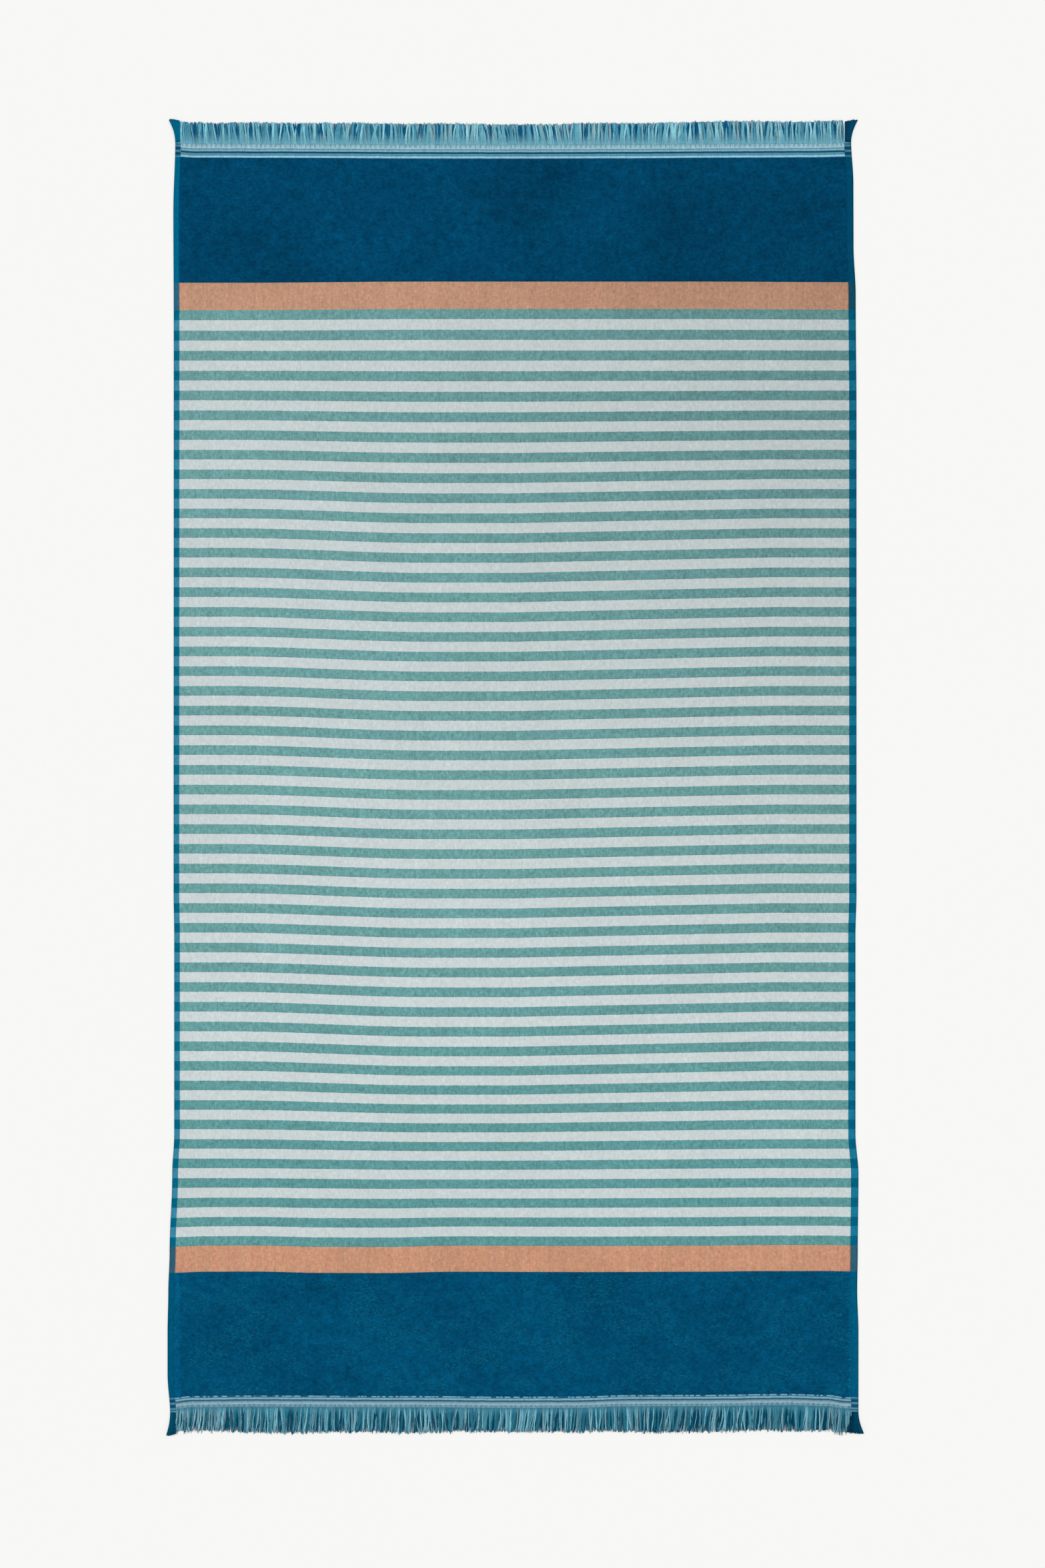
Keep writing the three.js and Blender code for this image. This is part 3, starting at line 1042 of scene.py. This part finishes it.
def fringeYarns(end):
    sign = 1 if end == "head" else -1
    look = fringe[end]
    reach = tipLine - rootLine - look["short"]
    width = 2 * innerHalf - mm
    yarns = []

    def addYarn(u, long, sideways, height, ownDye, toneAndHeightShade, count):
        tone = random.uniform(0.94, 1.06)
        points = []
        colors = []
        for k in range(count):
            free = k / (count - 1)
            out = (long + look["rootInset"]) * free - look["rootInset"]
            x, y = lieAt(u, sign * (rootLine + min(0, out)))
            y += sign * max(0, out)
            radius = fringe["radius"] * (0.6 if k in (0, count - 1) else 1)
            points.append((x + sideways(free), y, max(height(free) + liftAt(x, y), 0.6 * mm), radius))
            bare = 0.15 + 0.85 * ease(look["fadeFrom"], look["fade"], out)
            # the yarn's dye, with painted shade by its height and painted light at its root
            light = tone * (1 - bare + bare * toneAndHeightShade) * (1 + look["rootPaintedLight"] * (1 - ease(-2 * mm, 3 * mm, out)))
            colors.append(shaded(blendDyes(look["root"], ownDye, bare), light))
        yarns.append((points, colors))

    # a lower layer, mostly of the dark yarns
    clumpEnd = -width / 2
    for i in range(fringe["lowYarns"]):
        u = -width / 2 + width * (i + random.uniform(0.2, 0.8)) / fringe["lowYarns"]
        if u >= clumpEnd:
            clumpEnd += random.uniform(1.5, 4.5) * mm
            clumpDye = pick(look["low"])[1]
        ownDye = clumpDye if random.random() < 0.8 else pick(look["low"])[1]
        lean = driftAt(u, sign)
        long = reach + along(cutLines[end], u) * mm - 0.6 * mm + random.gauss(0, look["ragged"])
        addYarn(
            u, long,
            lambda free: lean * free ** 1.4,
            lambda free: (0.7 + 1.2 * (1 - ease(0, 0.5, free))) * mm,
            ownDye, random.uniform(0.85, 1.1), 5,
        )
    # upper yarns leave the header side by side and draw together into strands towards their tips
    clumpEnd = -width / 2
    for i in range(fringe["topYarns"]):
        u = -width / 2 + width * (i + random.uniform(0, 1)) / fringe["topYarns"]
        if u >= clumpEnd:
            _, clumpDye, narrow, wide = pick(strands[end])
            clumpWidth = random.uniform(narrow, wide) * look["spread"] * mm
            clumpMiddle = clumpEnd + clumpWidth / 2
            clumpEnd += clumpWidth
            clumpLean = driftAt(u, sign) + random.gauss(0, look["lean"])
            clumpCurl = random.gauss(0, 0.7 * mm)
            clumpLong = random.gauss(0, look["ragged"])
            clumpGather = random.uniform(0.1, 0.6)
            clumpLevel = random.random()  # 0 for the lowest of them and 1 for the top ones
        ownDye = clumpDye if random.random() < 0.92 else pick(strands[end])[1]
        long = reach + along(cutLines[end], u) * mm + clumpLong + random.gauss(0, look["ragged"] * 0.7)
        if atFootCorner(end, u):
            long += random.uniform(-1, 3.5) * mm
            ownDye = dye(150, 180, 190) if random.random() < 0.3 else ownDye
        pull = (clumpMiddle - u) * clumpGather
        lean = clumpLean + random.gauss(0, 0.35 * mm)
        wave = random.uniform(0, 6)
        level = min(1, max(0, clumpLevel + random.uniform(-0.25, 0.25)))
        addYarn(
            u, long,
            lambda free: pull * ease(0.1, 0.8, free) + lean * free ** 1.3
            + clumpCurl * math.sin(math.pi * free)
            + 0.2 * mm * math.sin(11 * free + wave) * ease(0, 0.4, free),
            lambda free: (2.15 + 0.3 * level) * mm * (1 - ease(0, 0.6, free))
            + (1.2 + 1.1 * level) * mm * ease(0, 0.6, free),
            # painted shade: the lower yarns are painted darker and the top ones lighter
            ownDye, 0.86 + 0.24 * level, 8,
        )
    return yarns


headFringe = yarnPiece("head_fringe_yarns", fringeYarns("head"), fringeMaterial, "head_end")
footFringe = yarnPiece("foot_fringe_yarns", fringeYarns("foot"), fringeMaterial, "foot_end")
print("fringes made")


# Corner tassels: how far the inner and outer yarns stand out at the tip, and their dyes
tassels = {
    "yarns": 330,
    "radius": 0.42 * mm,
    "head_left": {"inner": 0.6, "outer": 8.0, "long": 30.0, "dyes": (dye(0, 106, 142), dye(0, 100, 132))},
    "head_right": {"inner": 0.0, "outer": 8.6, "long": 28.8, "dyes": (dye(0, 58, 90), dye(2, 76, 104))},
    "foot_left": {"inner": -0.5, "outer": 4.6, "long": 30.0, "dyes": (dye(0, 66, 92), dye(0, 84, 112))},
    "foot_right": {"inner": -8.5, "outer": 7.5, "long": 28.5, "dyes": (dye(0, 46, 74), dye(2, 80, 108))},
}


def tasselYarns(end, side):
    sign = 1 if end == "head" else -1
    outward = -1 if side == "left" else 1
    look = tassels[end + "_" + side]
    yarns = []
    for i in range(tassels["yarns"]):
        share = random.random()
        u = outward * (innerHalf + 0.4 * mm + share * (halfWidth - innerHalf - 0.8 * mm))
        x, y = lieAt(u, sign * rootLine)
        fan = (look["inner"] + (look["outer"] - look["inner"]) * share) * mm + random.gauss(0, 0.4 * mm)
        long = (look["long"] - 2.0 * (1 - share) ** 2) * mm + random.gauss(0, 0.5 * mm)
        level = random.random()
        points = []
        for k in range(7):
            t = k / 6
            z = (0.6 + 1.6 * level) * mm + 0.7 * mm * math.sin(math.pi * t * 0.7)
            radius = tassels["radius"] * (1 if k < 6 else 0.6)
            points.append((x + outward * fan * t ** 1.9, y + sign * (long * t - 1.2 * mm), z, radius))
        color = blendDyes(*look["dyes"], min(1, max(0, share + random.gauss(0, 0.15))))
        # painted shade: the lower yarns are painted darker and the top ones lighter
        color = shaded(color, (0.9 + 0.15 * level) * random.uniform(0.94, 1.06))
        yarns.append((points, [color] * 7))
    return yarns


tasselPieces = {}
for end in ("head", "foot"):
    for side in ("left", "right"):
        piece = yarnPiece(
            f"{end}_corner_yarns_{side}", tasselYarns(end, side), tasselMaterial, end + "_end"
        )
        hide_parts(f"{end}_tassel_{side}")
        tasselPieces[end, side] = piece
print("tassels made")


# Hem stitches: lengthways bars at the head, slanting ones at the foot
stitch = {
    "head": {
        "inset": 6.6 * mm,
        "reach": 5.0 * mm,
        "slant": 0.7 * mm,
        "radius": 0.28 * mm,
        "dye": dye(96, 146, 164),
    },
    "foot": {
        "inset": 7.0 * mm,
        "reach": -0.8 * mm,
        "slant": 2.7 * mm,
        "radius": 0.42 * mm,
        # partly painted shade: the foot's thread is dyed dark for the shade in its stitch holes as well as
        # its own colour
        "dye": dye(72, 116, 134),
    },
}


def stitchYarns(end):
    sign = 1 if end == "head" else -1
    look = stitch[end]
    yarns = []
    count = round(2 * innerHalf / seam["pitch"])
    for i in range(count):
        start = -innerHalf + (i + random.uniform(0.1, 0.4)) * 2 * innerHalf / count
        long = random.uniform(0.85, 1.1)
        color = shaded(look["dye"], random.uniform(0.85, 1.2))
        points = []
        for k in range(5):
            t = k / 4
            inset = look["inset"] - look["reach"] * long * t
            x, y = lieAt(start + look["slant"] * long * t, sign * (rootLine - inset))
            z = clothTop + liftAt(x, y) + 0.34 * mm * math.sin(math.pi * t) - 0.22 * mm
            points.append((x, y, z, look["radius"]))
        yarns.append((points, [color] * 5))
    return yarns


headSeam = yarnPiece("head_hem_stitches", stitchYarns("head"), threadMaterial, "head_end")
footSeam = yarnPiece("foot_hem_stitches", stitchYarns("foot"), threadMaterial, "foot_end")
print("hem stitches made")


# Pieces at the ends follow their bodies; the frame's parts they stand for are hidden

for piece in (headStripes, headCoral, headBack, selvedges["head", "left"], selvedges["head", "right"]):
    bendAt(piece, "head_end")
for piece in (middleStripes, middleBack, selvedges["middle", "left"], selvedges["middle", "right"]):
    bendAt(piece, "middle")
for piece in (footStripes, footCoral, footBack, selvedges["foot", "left"], selvedges["foot", "right"]):
    bendAt(piece, "foot_end")
for piece in (headGround, headHeader, headPile):
    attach(piece, "head_end")
for piece in (footGround, footHeader, footPile):
    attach(piece, "foot_end")

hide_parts("head_half_striped_cloth")
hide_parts("head_half_striped_cloth", "foot_half_striped_cloth")
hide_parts("foot_half_striped_cloth")
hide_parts("head_terry_back")
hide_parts("head_half_terry_back", "foot_half_terry_back")
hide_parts("foot_terry_back")
for end, coral, ground, header, front, yarns, seamPiece in (
    ("head", headCoral, headGround, headHeader, headPile, headFringe, headSeam),
    ("foot", footCoral, footGround, footHeader, footPile, footFringe, footSeam),
):
    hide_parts(end + "_coral_band")
    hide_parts(end + "_ground_cloth")
    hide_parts(end + "_header_band")
    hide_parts(end + "_front_pile")
    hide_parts(end + "_fringe")
    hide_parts(end + "_hem_stitching")
for side in ("left", "right"):
    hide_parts("head_end_selvedge_" + side)
    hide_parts("head_half_selvedge_" + side, "foot_half_selvedge_" + side)
    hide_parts("foot_end_selvedge_" + side)

middleEdges = [selvedges["middle", side] for side in ("left", "right")]
for piece, length, under, carried in (
    (headStripes, fieldEnd - sectionLine, headBack, []),
    (middleStripes, 2 * sectionLine, middleBack, middleEdges),
    (footStripes, fieldEnd - sectionLine, footBack, []),
    (headCoral, coralEnd - fieldEnd, headBack, []),
    (footCoral, coralEnd - fieldEnd, footBack, []),
    (headGround, pileEnd - coralEnd, headBack, [headPile]),
    (footGround, pileEnd - coralEnd, footBack, [footPile]),
    (headHeader, rootLine - pileEnd, floor, [headSeam, headFringe]),
    (footHeader, rootLine - pileEnd, floor, [footSeam, footFringe]),
):
    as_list(carried)
